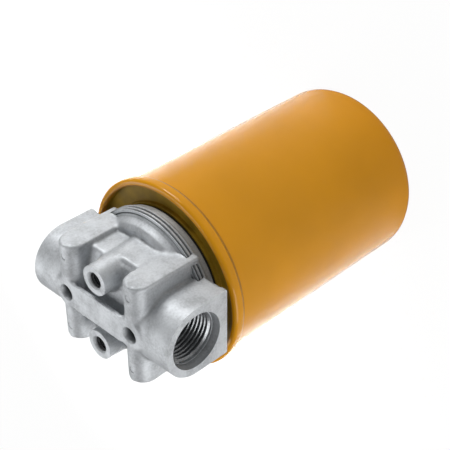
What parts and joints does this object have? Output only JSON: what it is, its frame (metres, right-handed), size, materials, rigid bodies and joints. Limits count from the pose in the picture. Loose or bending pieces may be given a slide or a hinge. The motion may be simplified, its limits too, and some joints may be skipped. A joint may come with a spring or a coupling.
{
  "type": "hydraulic filter assembly",
  "caption": "Spin-on hydraulic oil filter: a painted steel cartridge screwed to a die-cast in-line head with threaded ports, mounting bosses and a sprung bypass valve.",
  "frame": {"origin": "on the cartridge axis at the flat end of the can, under the whole part", "axes": "+Z along the cartridge axis towards the head's mounting face, X along the ports, +X out of the inlet port"},
  "size_m": [0.1001, 0.1002, 0.181],
  "materials": {
    "cast_aluminium": "die-cast, satin grey",
    "can_paint": "gloss orange-yellow enamel",
    "plated_steel": "zinc-plated, satin",
    "plate_steel": "dark lacquer",
    "seal_rubber": "black nitrile, matt",
    "filter_media": "resin-bonded paper",
    "potting_resin": "set adhesive",
    "spring_steel": "hardened, oiled"
  },
  "bodies": {
    "head": {"filter_head": "cast_aluminium", "threaded_nipple": "plated_steel", "bypass_seat": "plated_steel", "bypass_cage": "plated_steel"},
    "gasket": {"head_gasket": "seal_rubber"},
    "cartridge": {"can_shell": "can_paint", "seaming_lid": "can_paint", "base_plate": "plate_steel", "element_seal": "seal_rubber", "top_end_cap": "plated_steel", "bottom_end_cap": "plated_steel", "centre_tube": "plated_steel", "pleated_media": "filter_media", "media_seam_clip": "plated_steel", "top_potting": "potting_resin", "bottom_potting": "potting_resin", "element_spring": "spring_steel"},
    "bypass_valve": {"bypass_poppet": "plated_steel", "bypass_washer": "seal_rubber", "bypass_spring": "spring_steel"}
  },
  "joints": [
    {"name": "thread_travel", "type": "slide", "parent": "head", "child": "gasket", "axis": [0, 0, -1], "range_m": [0, 0.0107]},
    {"name": "cartridge_turn", "type": "hinge", "parent": "gasket", "child": "cartridge", "pos_m": [0, 0, 0.1389], "axis": [0, 0, -1], "range_deg": [0, 1800]},
    {"name": "bypass_lift", "type": "slide", "parent": "head", "child": "bypass_valve", "axis": [0, 0, 1], "range_m": [0, 0.003], "stiffness_N_per_m": 2000, "springref_m": -0.004, "deforming": ["bypass_spring"]}
  ],
  "couplings": [
    {"joint": "thread_travel", "follows": "cartridge_turn", "m_per_rad": 0.00033693}
  ]
}
